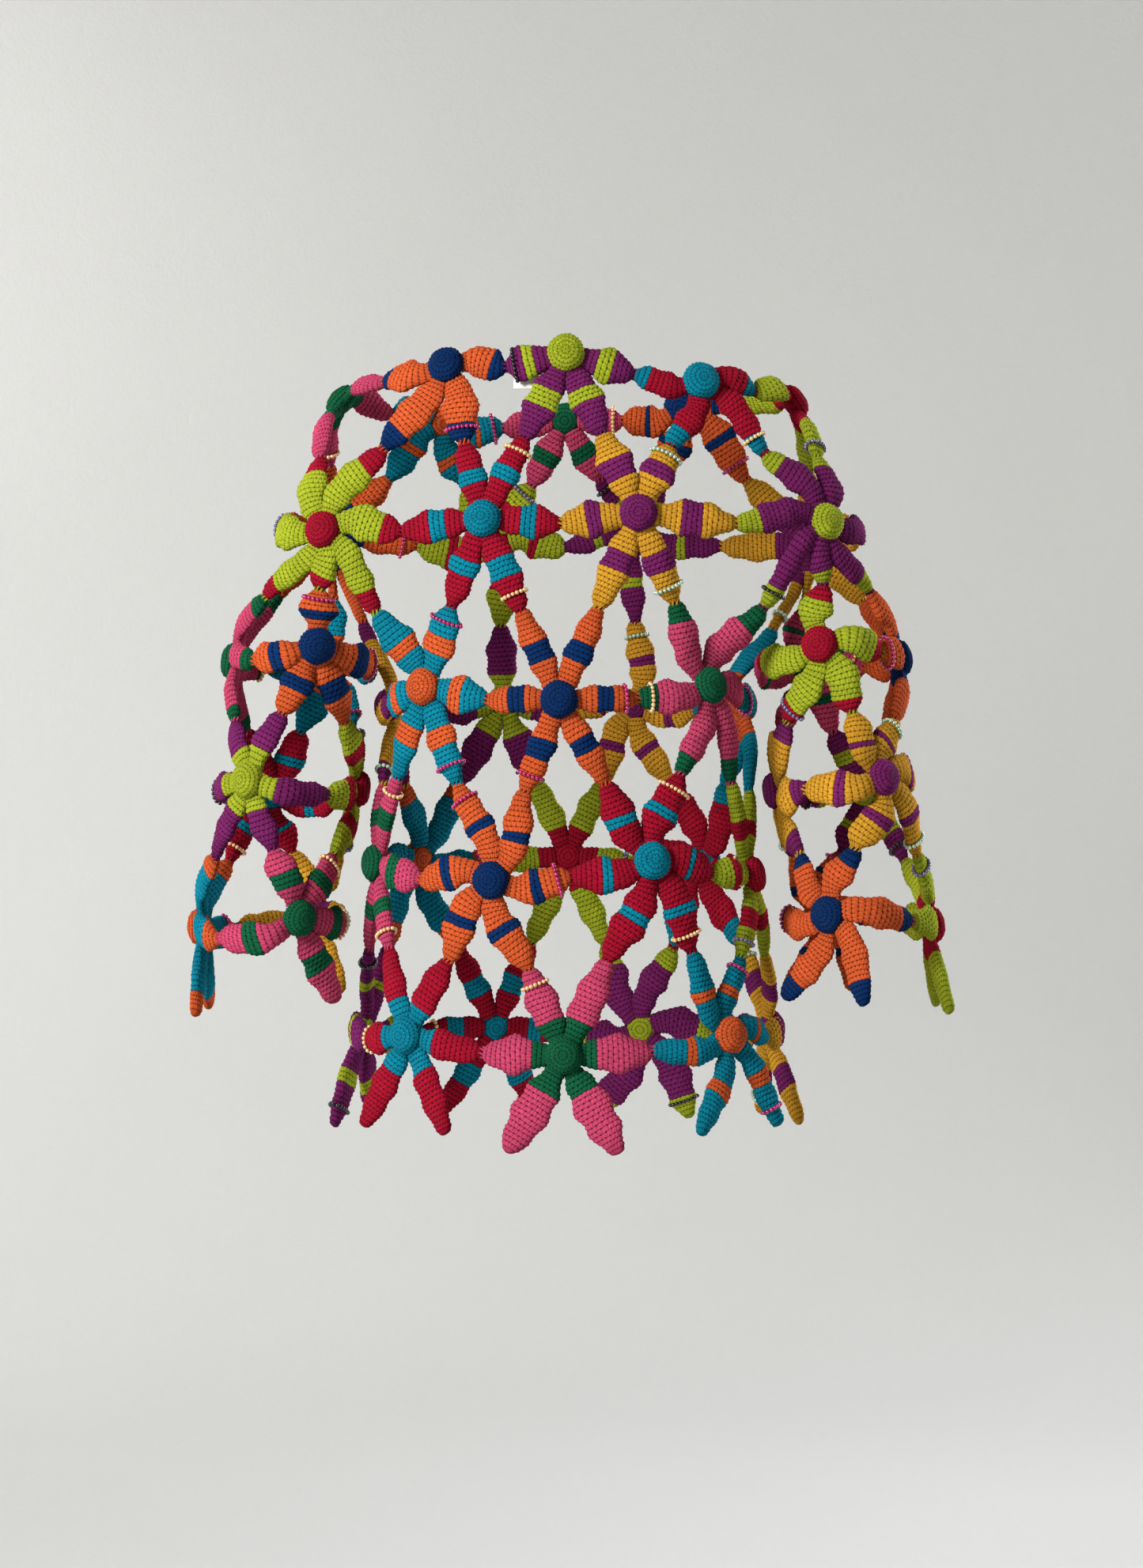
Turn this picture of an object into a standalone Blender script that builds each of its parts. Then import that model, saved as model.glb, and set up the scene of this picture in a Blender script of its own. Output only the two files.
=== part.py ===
"""Openwork crochet sweater, worn: a net of stuffed crochet flowers sewn tip to tip.

It has a wide boat neck, a straight body and bell sleeves to the forearm. There is no cut
panel: each flower is crocheted by itself, and its petals are sewn to the next flowers'
petals. Metres, +Z up. The wearer's back faces -Y, and the wearer's left is -X. The origin
is the middle of the neck opening, level with the shoulder points that carry the sweater.
"""

import math
from collections import namedtuple

import bmesh
import bpy
from mathutils import Matrix, Vector

# Sizes of one flower
DISC_RADIUS = 0.017
DISC_EDGE_HEIGHT = 0.009
CORNER_HEIGHT_SHARE = 0.8
DOME_HEIGHT = 0.0175
PETAL_BASE_HALF_WIDTH = 0.0088
PETAL_TIP_HALF_WIDTH = 0.0056
PETAL_BULGES = (0.0086, 0.0042, 0.0070, 0.0080, 0.0056)
PETAL_MIDDLE_RADIUS = 0.039
PETAL_EDGE_HEIGHT = 0.005
PETAL_CROWN_HEIGHT = 0.0115
TIP_CROWN_HEIGHT = 0.0078
PETAL_SHARES = (0.32, 0.68, 1.0)
WIDEST_BASE_DEG = 32

# How flowers meet
SEAM_GAP = 0.0003
JOINT_SAG = 0.006
SHORTEST_JOIN = 0.080
LONGEST_JOIN = 0.179
LEAST_FACING = -0.75
NEXT_REACH = 1.8
SWIRL_DEG = (0, 20, 0, -20, 0, 14)

# Free petals, which are sewn to nothing
FULL_COUNT = 6
FREE_CLEAR_DEG = 40
ROOM_FOR_FREE = 0.125
ROOM_COSINE = 0.6
STEEP_SINE = 0.5
EDGE_LENGTH = {"hem": 0.076, "cuff": 0.070}
INNER_FREE_LENGTH = 0.032
FREE_CURL = 0.006

# Small unevenness of a handmade net
DRIFT = 0.008
DRIFT_RATES = (2.3, 4.1)
TILT_DEG = 5
TILT_RATES = (3.7, 5.3)

YARNS = {
    "purple": (0.215, 0.020, 0.150),
    "teal": (0.006, 0.262, 0.305),
    "orange": (0.745, 0.107, 0.030),
    "red": (0.445, 0.010, 0.030),
    "gold": (0.730, 0.335, 0.016),
    "pink": (0.660, 0.090, 0.205),
    "lime": (0.370, 0.480, 0.017),
}
LABEL_WHITE = (0.80, 0.80, 0.78)
LABEL_SIZE = (0.022, 0.018, 0.0008)
LABEL_DROP = 0.011
LABEL_GAP = 0.0012

# One row for each round of flowers. Angles run from the middle of the back (0), through the
# outer side (90), to the front (180); a body round is mirrored, and so is a whole sleeve.
# lift and side_lift are how far the flowers face upwards, in degrees, at the back and side.
Round = namedtuple(
    "Round",
    "part row height half_width half_depth centre_x centre_y lift side_lift angles side_drop front_drop",
    defaults=(0.0, 0.0),
)
ROUNDS = (
    Round("body", "neck", 0.008, 0.190, 0.080, 0, 0, 8, 34, (0, 34, 90, 146, 180), 0.020, 0.018),
    Round("body", "yoke", -0.126, 0.262, 0.104, 0, 0, 4, 10, (14, 53, 127, 166)),
    Round("body", "chest", -0.272, 0.150, 0.114, 0, 0.002, 5, 0, (0, 47, 102, 157)),
    Round("body", "waist", -0.418, 0.160, 0.117, 0, 0.004, 5, 0, (24, 75, 129, 180)),
    Round("body", "hem", -0.564, 0.174, 0.122, 0, 0.006, 5, 0, (0, 47, 102, 156)),
    Round("sleeve", "upper", -0.236, 0.049, 0.064, 0.233, 0.002, 2, 8, (345, 90, 195)),
    Round("sleeve", "elbow", -0.350, 0.052, 0.072, 0.243, 0.006, 2, 8, (30, 150, 270)),
    Round("sleeve", "cuff", -0.463, 0.055, 0.080, 0.258, 0.010, 0, 2, (330, 90, 210)),
)
JOINED_ROWS = {
    ("neck", "yoke"),
    ("yoke", "chest"),
    ("chest", "waist"),
    ("waist", "hem"),
    ("yoke", "upper"),
    ("upper", "elbow"),
    ("elbow", "cuff"),
}

Flower = namedtuple("Flower", "number name part row side turn home centre normal yarn swirl")
Petal = namedtuple("Petal", "start start_way end end_way start_normal end_normal angle")


def clear_scene():
    for obj in list(bpy.data.objects):
        bpy.data.objects.remove(obj, do_unlink=True)


def material(name, colour):
    made = bpy.data.materials.new(name)
    made.use_nodes = True
    shader = made.node_tree.nodes["Principled BSDF"]
    shader.inputs["Base Color"].default_value = (*colour, 1)
    shader.inputs["Roughness"].default_value = 0.9
    shader.inputs["Metallic"].default_value = 0
    return made


def flower_name(level, side, angle):
    """Names a flower by the piece of the sweater that it is in."""
    hand = "right" if side > 0 else "left"
    if level.part == "sleeve":
        place = {30: "back", 90: "outer", 150: "front", 195: "front", 210: "front", 270: "inner"}
        return f"sleeve_{hand}_{level.row}_{place.get(angle, 'back')}"
    if angle == 90:
        return f"shoulder_{hand}"
    face = "back" if angle < 90 else "front"
    if angle in (0, 180):
        return f"{face}_{level.row}_middle"
    return f"{face}_{level.row}_{hand}_{angle}"


def placed_flower(level, side, angle, number):
    turn = math.radians(angle)
    sideways_drift = DRIFT * math.sin(DRIFT_RATES[0] * number)
    upwards_drift = DRIFT * math.sin(DRIFT_RATES[1] * number + 1)
    across, along = math.sin(turn), -math.cos(turn)
    normal = Vector((across / level.half_width, along / level.half_depth, 0)).normalized()
    lift = math.radians(level.lift + level.side_lift * normal.x)
    centre = Vector((
        level.centre_x + level.half_width * across,
        level.centre_y + level.half_depth * along,
        level.height - level.side_drop * across**2 - level.front_drop * (1 + along) / 2,
    ))
    home = centre.copy()
    centre += Vector((-normal.y, normal.x, 0)) * sideways_drift + Vector((0, 0, upwards_drift))
    tilt = Vector((math.sin(TILT_RATES[0] * number), 0, math.sin(TILT_RATES[1] * number)))
    normal = normal * math.cos(lift) + Vector((0, 0, math.sin(lift)))
    normal = (normal + math.radians(TILT_DEG) * tilt).normalized()
    mirrored = Vector((side, 1, 1))
    return Flower(
        number,
        flower_name(level, side, angle),
        level.part,
        level.row,
        side,
        turn * side,
        home * mirrored,
        centre * mirrored,
        normal * mirrored,
        list(YARNS)[(3 * number + number // 5) % len(YARNS)],
        math.radians(SWIRL_DEG[number % len(SWIRL_DEG)]),
    )


def all_flowers():
    flowers = []
    for level in ROUNDS:
        for side in (1, -1):
            for angle in level.angles:
                if level.part == "body" and side < 0 and angle in (0, 180):
                    continue
                flowers.append(placed_flower(level, side, angle, len(flowers)))
    return flowers


def sewn_together(a, b):
    """True where the petals of two flowers are sewn tip to tip."""
    length = (a.home - b.home).length
    if not SHORTEST_JOIN <= length <= LONGEST_JOIN or a.normal.dot(b.normal) < LEAST_FACING:
        return False
    if a.part == b.part == "sleeve" and a.side != b.side:
        return False
    if a.row == b.row:
        return next_in_round(a, b)
    return (a.row, b.row) in JOINED_ROWS or (b.row, a.row) in JOINED_ROWS


def next_in_round(a, b):
    """True where no other flower of the round lies between these two."""
    if a.part == "sleeve":
        return True
    count = sum(2 if 0 < angle < 180 else 1 for angle in round_of(a).angles)
    return angle_between(a.turn, b.turn) < NEXT_REACH * math.tau / count


def round_of(flower):
    return next(level for level in ROUNDS if level.row == flower.row)


def in_plane(vector, normal):
    return (vector - normal * vector.dot(normal)).normalized()


def joint_between(a, b):
    """Where the tips of two flowers meet on the curve of the garment: point, way, normal."""
    chord = b.centre - a.centre
    way = chord.normalized()
    half_bend = math.asin(max(-1, min(1, (b.normal - a.normal).dot(way) / 2)))
    normal = in_plane(a.normal + b.normal, way)
    rise = chord.length / 2 * math.tan(half_bend / 2)
    sag = Vector((0, 0, -JOINT_SAG * (1 - way.z**2)))
    return (a.centre + b.centre) / 2 + normal * rise + sag, way, normal


def flower_plane(flower):
    """The level direction across a flower's face, and the one up it."""
    sideways = Vector((-flower.normal.y, flower.normal.x, 0)).normalized()
    return sideways, flower.normal.cross(sideways)


def plane_angle(flower, way):
    sideways, upwards = flower_plane(flower)
    return math.atan2(way.dot(upwards), way.dot(sideways)) % math.tau


def angle_between(a, b):
    return abs((a - b + math.pi) % math.tau - math.pi)


def petal_towards(flower, way, end, end_way, end_normal):
    swirl = Matrix.Rotation(flower.swirl, 3, flower.normal)
    start_way = swirl @ in_plane(way, flower.normal)
    start = flower.centre + start_way * DISC_RADIUS
    angle = plane_angle(flower, start_way)
    return Petal(start, start_way, end, end_way, flower.normal, end_normal, angle)


def sewn_petal(flower, other):
    joint, way, normal = joint_between(flower, other)
    end = joint - way * SEAM_GAP / 2
    return petal_towards(flower, joint - flower.centre, end, way, normal)


def free_petal(flower, angle, length):
    sideways, upwards = flower_plane(flower)
    way = sideways * math.cos(angle) + upwards * math.sin(angle)
    end = flower.centre + way * (DISC_RADIUS + length) + flower.normal * FREE_CURL
    lean = 2 * FREE_CURL / length
    end_way = (way + flower.normal * lean).normalized()
    return petal_towards(flower, way, end, end_way, (flower.normal - way * lean).normalized())


def free_length(flower, angle, flowers):
    """How long a free petal is there, or 0 where a near flower leaves no room."""
    way = free_petal(flower, angle, INNER_FREE_LENGTH).start_way
    if flower.row == "neck" and math.sin(angle) > STEEP_SINE:
        return 0
    if flower.row in EDGE_LENGTH and math.sin(angle) < -STEEP_SINE:
        return EDGE_LENGTH[flower.row]
    for other in flowers:
        offset = other.centre - flower.centre
        near = 0 < offset.length < ROOM_FOR_FREE
        if near and offset.normalized().dot(way) > ROOM_COSINE:
            return 0
    return INNER_FREE_LENGTH


def petals_of(flower, flowers):
    neighbours = [other for other in flowers if other != flower and sewn_together(flower, other)]
    petals = [sewn_petal(flower, other) for other in neighbours]
    for step in range(FULL_COUNT):
        angle = math.tau * step / FULL_COUNT + flower.swirl
        if any(angle_between(angle, p.angle) < math.radians(FREE_CLEAR_DEG) for p in petals):
            continue
        length = free_length(flower, angle - flower.swirl, flowers)
        if length:
            petals.append(free_petal(flower, angle - flower.swirl, length))
    return sorted(petals, key=lambda p: p.angle)


def along_petal(petal, share):
    """The point, way and normal of the petal's middle line at a share of its length."""
    handle = (petal.end - petal.start).length / 3
    points = (
        petal.start,
        petal.start + petal.start_way * handle,
        petal.end - petal.end_way * handle,
        petal.end,
    )
    rest = 1 - share
    weights = (rest**3, 3 * rest**2 * share, 3 * rest * share**2, share**3)
    slopes = (-(rest**2), rest**2 - 2 * rest * share, 2 * rest * share - share**2, share**2)
    point = sum((p * w for p, w in zip(points, weights)), Vector())
    way = sum((p * s for p, s in zip(points, slopes)), Vector()).normalized()
    normal = in_plane(petal.start_normal.lerp(petal.end_normal, share), way)
    return point, way, normal


def bulge_of(flower, petal, petals):
    """How far a petal swells at its middle: less where the flower's next petal is near."""
    gap = min(angle_between(petal.angle, other.angle) for other in petals if other is not petal)
    room = PETAL_MIDDLE_RADIUS * math.sin(gap / 2) - PETAL_BASE_HALF_WIDTH
    return min(PETAL_BULGES[flower.number % len(PETAL_BULGES)], room)


def half_width(share, bulge):
    straight = PETAL_BASE_HALF_WIDTH * (1 - share) + PETAL_TIP_HALF_WIDTH * share
    return straight + bulge * math.sin(math.pi * share)


def crown_height(share):
    return PETAL_CROWN_HEIGHT + (TIP_CROWN_HEIGHT - PETAL_CROWN_HEIGHT) * share**3


def disc_angles(petals):
    """Angles round the disc: each petal's two base corners, and the bare rim between."""
    widest = math.radians(WIDEST_BASE_DEG)
    rim = []
    for petal, after in zip(petals, petals[1:] + petals[:1]):
        gap = (after.angle - petal.angle) % math.tau or math.tau
        rim.append(("middle", petal, petal.angle))
        if gap <= 2 * widest:
            rim.append(("corner", petal, petal.angle + gap / 2))
            continue
        bare = gap - 2 * widest
        steps = max(1, round(bare / widest))
        rim += [("corner", petal, petal.angle + widest + bare * k / steps) for k in range(steps + 1)]
    return rim


def build_flower(flower, petals, collection, materials):
    """A flat net of disc and petals, thickened outwards into one solid."""
    sideways, upwards = flower_plane(flower)
    bm = bmesh.new()
    lift = bm.verts.layers.float_vector.new("lift")

    def vertex(point, normal, height):
        made = bm.verts.new(point - flower.centre)
        made[lift] = normal * height
        return made

    rim = []
    for kind, petal, angle in disc_angles(petals):
        way = sideways * math.cos(angle) + upwards * math.sin(angle)
        point = flower.centre + way * DISC_RADIUS
        height = DISC_EDGE_HEIGHT * (1 if kind == "middle" else CORNER_HEIGHT_SHARE)
        rim.append((kind, petal, vertex(point, flower.normal, height)))
    centre = vertex(flower.centre, flower.normal, DOME_HEIGHT)
    for (_, _, a), (_, _, b) in zip(rim, rim[1:] + rim[:1]):
        bm.faces.new((centre, a, b))

    for place, (kind, petal, middle) in enumerate(rim):
        if kind != "middle":
            continue
        row = (rim[place - 1][2], middle, rim[(place + 1) % len(rim)][2])
        bulge = bulge_of(flower, petal, petals)
        for share in PETAL_SHARES:
            point, way, normal = along_petal(petal, share)
            across = normal.cross(way)
            half = half_width(share, bulge)
            next_row = (
                vertex(point - across * half, normal, PETAL_EDGE_HEIGHT),
                vertex(point, normal, crown_height(share)),
                vertex(point + across * half, normal, PETAL_EDGE_HEIGHT),
            )
            for k in (0, 1):
                bm.faces.new((row[k], next_row[k], next_row[k + 1], row[k + 1]))
            row = next_row

    raised = bmesh.ops.extrude_face_region(bm, geom=bm.faces[:], use_keep_orig=True)
    for made in raised["geom"]:
        if isinstance(made, bmesh.types.BMVert):
            made.co += made[lift]
    bmesh.ops.recalc_face_normals(bm, faces=bm.faces)
    mesh = bpy.data.meshes.new(flower.name)
    bm.to_mesh(mesh)
    bm.free()
    mesh.materials.append(materials[flower.yarn])
    obj = bpy.data.objects.new(flower.name, mesh)
    obj.location = flower.centre
    collection.objects.link(obj)


def build_label(petal, collection):
    """A blank woven tab, sewn behind the petal on the left of the middle of the neck."""
    point, way, normal = along_petal(petal, 0.5)
    downwards = in_plane(Vector((0, 0, -1)), normal)
    sideways = normal.cross(downwards)
    middle = point + downwards * LABEL_DROP - normal * (LABEL_GAP + LABEL_SIZE[2] / 2)
    bpy.ops.mesh.primitive_cube_add(size=1)
    tab = bpy.context.object
    tab.name = tab.data.name = "neck_label"
    tab.data.transform(Matrix.Diagonal((*LABEL_SIZE, 1)))
    turn = Matrix((sideways, downwards, normal)).transposed()
    tab.matrix_world = Matrix.Translation(middle) @ turn.to_4x4()
    tab.data.materials.append(material("label_tape", LABEL_WHITE))
    for holder in list(tab.users_collection):
        holder.objects.unlink(tab)
    collection.objects.link(tab)


def main():
    clear_scene()
    collection = bpy.data.collections.new("crochet_sweater")
    bpy.context.scene.collection.children.link(collection)
    materials = {name: material(f"yarn_{name}", colour) for name, colour in YARNS.items()}
    flowers = all_flowers()
    for flower in flowers:
        petals = petals_of(flower, flowers)
        build_flower(flower, petals, collection, materials)
        if flower.name == "back_neck_middle":
            leftward = min(petals, key=lambda p: p.end.x)
            build_label(leftward, collection)


main()
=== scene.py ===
"""The looks of an openwork sweater of stuffed crochet flowers, in the frame of its solids."""
import math
from collections import namedtuple

import bmesh
import bpy
from mathutils import Matrix, Vector


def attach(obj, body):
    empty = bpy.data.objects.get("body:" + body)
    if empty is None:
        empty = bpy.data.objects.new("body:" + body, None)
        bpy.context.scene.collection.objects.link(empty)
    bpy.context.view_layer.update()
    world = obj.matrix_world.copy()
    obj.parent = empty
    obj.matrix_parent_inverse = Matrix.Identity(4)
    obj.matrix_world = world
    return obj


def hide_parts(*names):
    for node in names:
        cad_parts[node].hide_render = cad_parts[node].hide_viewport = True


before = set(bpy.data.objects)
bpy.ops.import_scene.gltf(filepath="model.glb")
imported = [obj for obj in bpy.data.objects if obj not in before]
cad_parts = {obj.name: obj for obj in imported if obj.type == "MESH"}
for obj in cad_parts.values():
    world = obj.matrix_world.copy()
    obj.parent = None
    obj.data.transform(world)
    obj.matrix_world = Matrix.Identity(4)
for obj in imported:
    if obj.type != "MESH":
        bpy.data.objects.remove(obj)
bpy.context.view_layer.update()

# The net of flowers. The real sweater has no cut panels: each flower is crocheted and
# stuffed by itself, and its petals are sewn tip to tip to its neighbours' petals, in
# rounds from the boat neck down to the hem and the cuffs. This finds where each one sits.
DISC_RADIUS = 0.017
SHORTEST_JOIN = 0.080
LONGEST_JOIN = 0.179
LEAST_FACING = -0.75
SWIRL_DEG = (0, 20, 0, -20, 0, 14)
FULL_COUNT = 6
FREE_CLEAR_DEG = 40
ROOM_FOR_FREE = 0.125
EDGE_LENGTH = {"hem": 0.076, "cuff": 0.070}
INNER_FREE_LENGTH = 0.032
FREE_CURL = 0.006
ROOM_COSINE = 0.6
STEEP_SINE = 0.5
NEXT_REACH = 1.8
JOINT_SAG = 0.006
PETAL_BASE_HALF_WIDTH = 0.0088
PETAL_BULGES = (0.0086, 0.0042, 0.0070, 0.0080, 0.0056)
PETAL_MIDDLE_RADIUS = 0.039
DRIFT = 0.008
DRIFT_RATES = (2.3, 4.1)
TILT_DEG = 5
TILT_RATES = (3.7, 5.3)
YARN_ORDER = ("purple", "teal", "orange", "red", "gold", "pink", "lime")

Round = namedtuple(
    "Round",
    "part row height half_width half_depth centre_x centre_y lift side_lift angles side_drop front_drop",
    defaults=(0.0, 0.0),
)
ROUNDS = (
    Round("body", "neck", 0.008, 0.190, 0.080, 0, 0, 8, 34, (0, 34, 90, 146, 180), 0.020, 0.018),
    Round("body", "yoke", -0.126, 0.262, 0.104, 0, 0, 4, 10, (14, 53, 127, 166)),
    Round("body", "chest", -0.272, 0.150, 0.114, 0, 0.002, 5, 0, (0, 47, 102, 157)),
    Round("body", "waist", -0.418, 0.160, 0.117, 0, 0.004, 5, 0, (24, 75, 129, 180)),
    Round("body", "hem", -0.564, 0.174, 0.122, 0, 0.006, 5, 0, (0, 47, 102, 156)),
    Round("sleeve", "upper", -0.236, 0.049, 0.064, 0.233, 0.002, 2, 8, (345, 90, 195)),
    Round("sleeve", "elbow", -0.350, 0.052, 0.072, 0.243, 0.006, 2, 8, (30, 150, 270)),
    Round("sleeve", "cuff", -0.463, 0.055, 0.080, 0.258, 0.010, 0, 2, (330, 90, 210)),
)
ROUND_OF = {level.row: level for level in ROUNDS}
JOINED_ROWS = {
    ("neck", "yoke"),
    ("yoke", "chest"),
    ("chest", "waist"),
    ("waist", "hem"),
    ("yoke", "upper"),
    ("upper", "elbow"),
    ("elbow", "cuff"),
}
SLEEVE_PLACES = {30: "back", 90: "outer", 150: "front", 195: "front", 210: "front", 270: "inner"}

Flower = namedtuple("Flower", "number node part row side turn home centre normal yarn swirl")
Petal = namedtuple(
    "Petal", "start start_way end end_way start_normal end_normal angle sewn_to bulge"
)


def node_of(level, side, angle):
    hand = "right" if side > 0 else "left"
    if level.part == "sleeve":
        return f"sleeve_{hand}_{level.row}_{SLEEVE_PLACES.get(angle, 'back')}"
    if angle == 90:
        return f"shoulder_{hand}"
    face = "back" if angle < 90 else "front"
    if angle in (0, 180):
        return f"{face}_{level.row}_middle"
    return f"{face}_{level.row}_{hand}_{angle}"


def placed_flower(level, side, angle, number):
    turn = math.radians(angle)
    sideways_drift = DRIFT * math.sin(DRIFT_RATES[0] * number)
    upwards_drift = DRIFT * math.sin(DRIFT_RATES[1] * number + 1)
    across, along = math.sin(turn), -math.cos(turn)
    normal = Vector((across / level.half_width, along / level.half_depth, 0)).normalized()
    lift = math.radians(level.lift + level.side_lift * normal.x)
    home = Vector((
        level.centre_x + level.half_width * across,
        level.centre_y + level.half_depth * along,
        level.height - level.side_drop * across**2 - level.front_drop * (1 + along) / 2,
    ))
    centre = home + Vector((-normal.y * sideways_drift, normal.x * sideways_drift, upwards_drift))
    tilt = Vector((math.sin(TILT_RATES[0] * number), 0, math.sin(TILT_RATES[1] * number)))
    normal = normal * math.cos(lift) + Vector((0, 0, math.sin(lift)))
    normal = (normal + math.radians(TILT_DEG) * tilt).normalized()
    mirrored = Vector((side, 1, 1))
    return Flower(
        number,
        node_of(level, side, angle),
        level.part,
        level.row,
        side,
        turn * side,
        home * mirrored,
        centre * mirrored,
        normal * mirrored,
        YARN_ORDER[(3 * number + number // 5) % len(YARN_ORDER)],
        math.radians(SWIRL_DEG[number % len(SWIRL_DEG)]),
    )


def angle_between(a, b):
    return abs((a - b + math.pi) % math.tau - math.pi)


def sewn_together(a, b):
    length = (a.home - b.home).length
    if not SHORTEST_JOIN <= length <= LONGEST_JOIN or a.normal.dot(b.normal) < LEAST_FACING:
        return False
    if a.part == b.part == "sleeve" and a.side != b.side:
        return False
    if a.row != b.row:
        return (a.row, b.row) in JOINED_ROWS or (b.row, a.row) in JOINED_ROWS
    if a.part == "sleeve":
        return True
    count = sum(2 if 0 < angle < 180 else 1 for angle in ROUND_OF[a.row].angles)
    return angle_between(a.turn, b.turn) < NEXT_REACH * math.tau / count


def in_plane(vector, normal):
    return (vector - normal * vector.dot(normal)).normalized()


def joint_between(a, b):
    chord = b.centre - a.centre
    way = chord.normalized()
    half_bend = math.asin(max(-1, min(1, (b.normal - a.normal).dot(way) / 2)))
    normal = in_plane(a.normal + b.normal, way)
    rise = chord.length / 2 * math.tan(half_bend / 2)
    sag = Vector((0, 0, -JOINT_SAG * (1 - way.z**2)))
    return (a.centre + b.centre) / 2 + normal * rise + sag, way, normal


def flower_plane(flower):
    sideways = Vector((-flower.normal.y, flower.normal.x, 0)).normalized()
    return sideways, flower.normal.cross(sideways)


def petal_towards(flower, way, end, end_way, end_normal, sewn_to=None):
    swirl = Matrix.Rotation(flower.swirl, 3, flower.normal)
    start_way = swirl @ in_plane(way, flower.normal)
    sideways, upwards = flower_plane(flower)
    angle = math.atan2(start_way.dot(upwards), start_way.dot(sideways)) % math.tau
    start = flower.centre + start_way * DISC_RADIUS
    return Petal(start, start_way, end, end_way, flower.normal, end_normal, angle, sewn_to, 0)


def free_petal(flower, angle, length):
    sideways, upwards = flower_plane(flower)
    way = sideways * math.cos(angle) + upwards * math.sin(angle)
    end = flower.centre + way * (DISC_RADIUS + length) + flower.normal * FREE_CURL
    lean = 2 * FREE_CURL / length
    end_way = (way + flower.normal * lean).normalized()
    return petal_towards(flower, way, end, end_way, (flower.normal - way * lean).normalized())


def free_length(flower, angle):
    if flower.row == "neck" and math.sin(angle) > STEEP_SINE:
        return 0
    if flower.row in EDGE_LENGTH and math.sin(angle) < -STEEP_SINE:
        return EDGE_LENGTH[flower.row]
    way = free_petal(flower, angle, INNER_FREE_LENGTH).start_way
    for other in flowers:
        offset = other.centre - flower.centre
        near = 0 < offset.length < ROOM_FOR_FREE
        if near and offset.normalized().dot(way) > ROOM_COSINE:
            return 0
    return INNER_FREE_LENGTH


def petals_of(flower):
    petals = []
    for other in flowers:
        if other is not flower and sewn_together(flower, other):
            joint, way, normal = joint_between(flower, other)
            petals.append(petal_towards(flower, joint - flower.centre, joint, way, normal, other))
    for step in range(FULL_COUNT):
        angle = math.tau * step / FULL_COUNT + flower.swirl
        if any(angle_between(angle, p.angle) < math.radians(FREE_CLEAR_DEG) for p in petals):
            continue
        length = free_length(flower, angle - flower.swirl)
        if length:
            petals.append(free_petal(flower, angle - flower.swirl, length))
    petals.sort(key=lambda p: p.angle)
    swollen = []
    for petal in petals:
        gap = min(angle_between(petal.angle, p.angle) for p in petals if p is not petal)
        room = PETAL_MIDDLE_RADIUS * math.sin(gap / 2) - PETAL_BASE_HALF_WIDTH
        bulge = min(PETAL_BULGES[flower.number % len(PETAL_BULGES)], room)
        swollen.append(petal._replace(bulge=bulge))
    return swollen


def along_petal(petal, share):
    """The point, way and normal of the petal's middle line on the inner face of the net."""
    handle = (petal.end - petal.start).length / 3
    points = (
        petal.start,
        petal.start + petal.start_way * handle,
        petal.end - petal.end_way * handle,
        petal.end,
    )
    rest = 1 - share
    weights = (rest**3, 3 * rest**2 * share, 3 * rest * share**2, share**3)
    slopes = (-(rest**2), rest**2 - 2 * rest * share, 2 * rest * share - share**2, share**2)
    point = sum((p * w for p, w in zip(points, weights)), Vector())
    way = sum((p * s for p, s in zip(points, slopes)), Vector()).normalized()
    return point, way, in_plane(petal.start_normal.lerp(petal.end_normal, share), way)


flowers = []
for level in ROUNDS:
    for side in (1, -1):
        for angle in level.angles:
            if level.part == "body" and side < 0 and angle in (0, 180):
                continue
            flowers.append(placed_flower(level, side, angle, len(flowers)))
petals = {flower.node: petals_of(flower) for flower in flowers}

# The flowers. Each petal is a stuffed tube of single crochet in cotton yarn, closed at its
# tip, with some rounds in a second yarn. A crocheted ball of that yarn covers where the
# petals meet, and whip stitches hold tip to tip.
ROUND_PITCH = 0.0042
RINGS_PER_ROUND = 2
PETAL_STITCHES = 16
BUTTON_STITCHES = 26
THREAD_STITCHES = 3
ROUNDS_TO_FULL = 4
FAR_FROM_POLE = 9.0
PETAL_ROOT = 0.010
PETAL_TIP_HALF_WIDTH = 0.0058
PETAL_BASE_HEIGHT = 0.0095
PETAL_CROWN_HEIGHT = 0.0122
TIP_HEIGHT = 0.0088
TIP_ROUNDING = 0.0055
SEWN_TIP = 0.86
ROOT_ROUNDING = 0.003
BUTTON_RADIUS = 0.0158
BUTTON_HEIGHT = 0.0195
BUTTON_FULLNESS = 0.86
PROFILE_STEPS = 160
LENGTH_STEPS = 24
CLOSING_ROUNDS = (0.20, 0.03, 0)
STUFFING_LUMPS = 0.09
LUMP_RATES = (1.1, 2.4)
TONE_RATE = 1.7
WHIP_STITCHES = 7
WHIP_REACH = 0.0042
WHIP_TURN = 0.45
WHIP_HALF_STEPS = 3
WHIP_CROWN = 0.74
WHIP_SINK = 0.12
THREAD_RADIUS = 0.0010
RELIEF_OUTSIDE = 0.35
FULL_RELIEF_WIDTH = 0.004
WOBBLE_SCALE = 75.0
WELD = 0.00002
YARN_COLOURS = {
    "purple": "#84276C",
    "teal": "#0592AE",
    "orange": "#EA6634",
    "red": "#B61232",
    "gold": "#EBAC34",
    "pink": "#E05079",
    "lime": "#B4C22F",
    "blue": "#08356F",
    "green": "#146A45",
}
SECOND_YARN = {
    "purple": "lime",
    "teal": "orange",
    "orange": "blue",
    "red": "teal",
    "gold": "purple",
    "pink": "green",
    "lime": "red",
}
# Where a flower's petals change to the second yarn, as shares of their length
BANDS = ((0.36, 0.58), (0.74, 1.00), (0.00, 0.30), (0.42, 0.54))
IN_SECOND = 0.6


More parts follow.
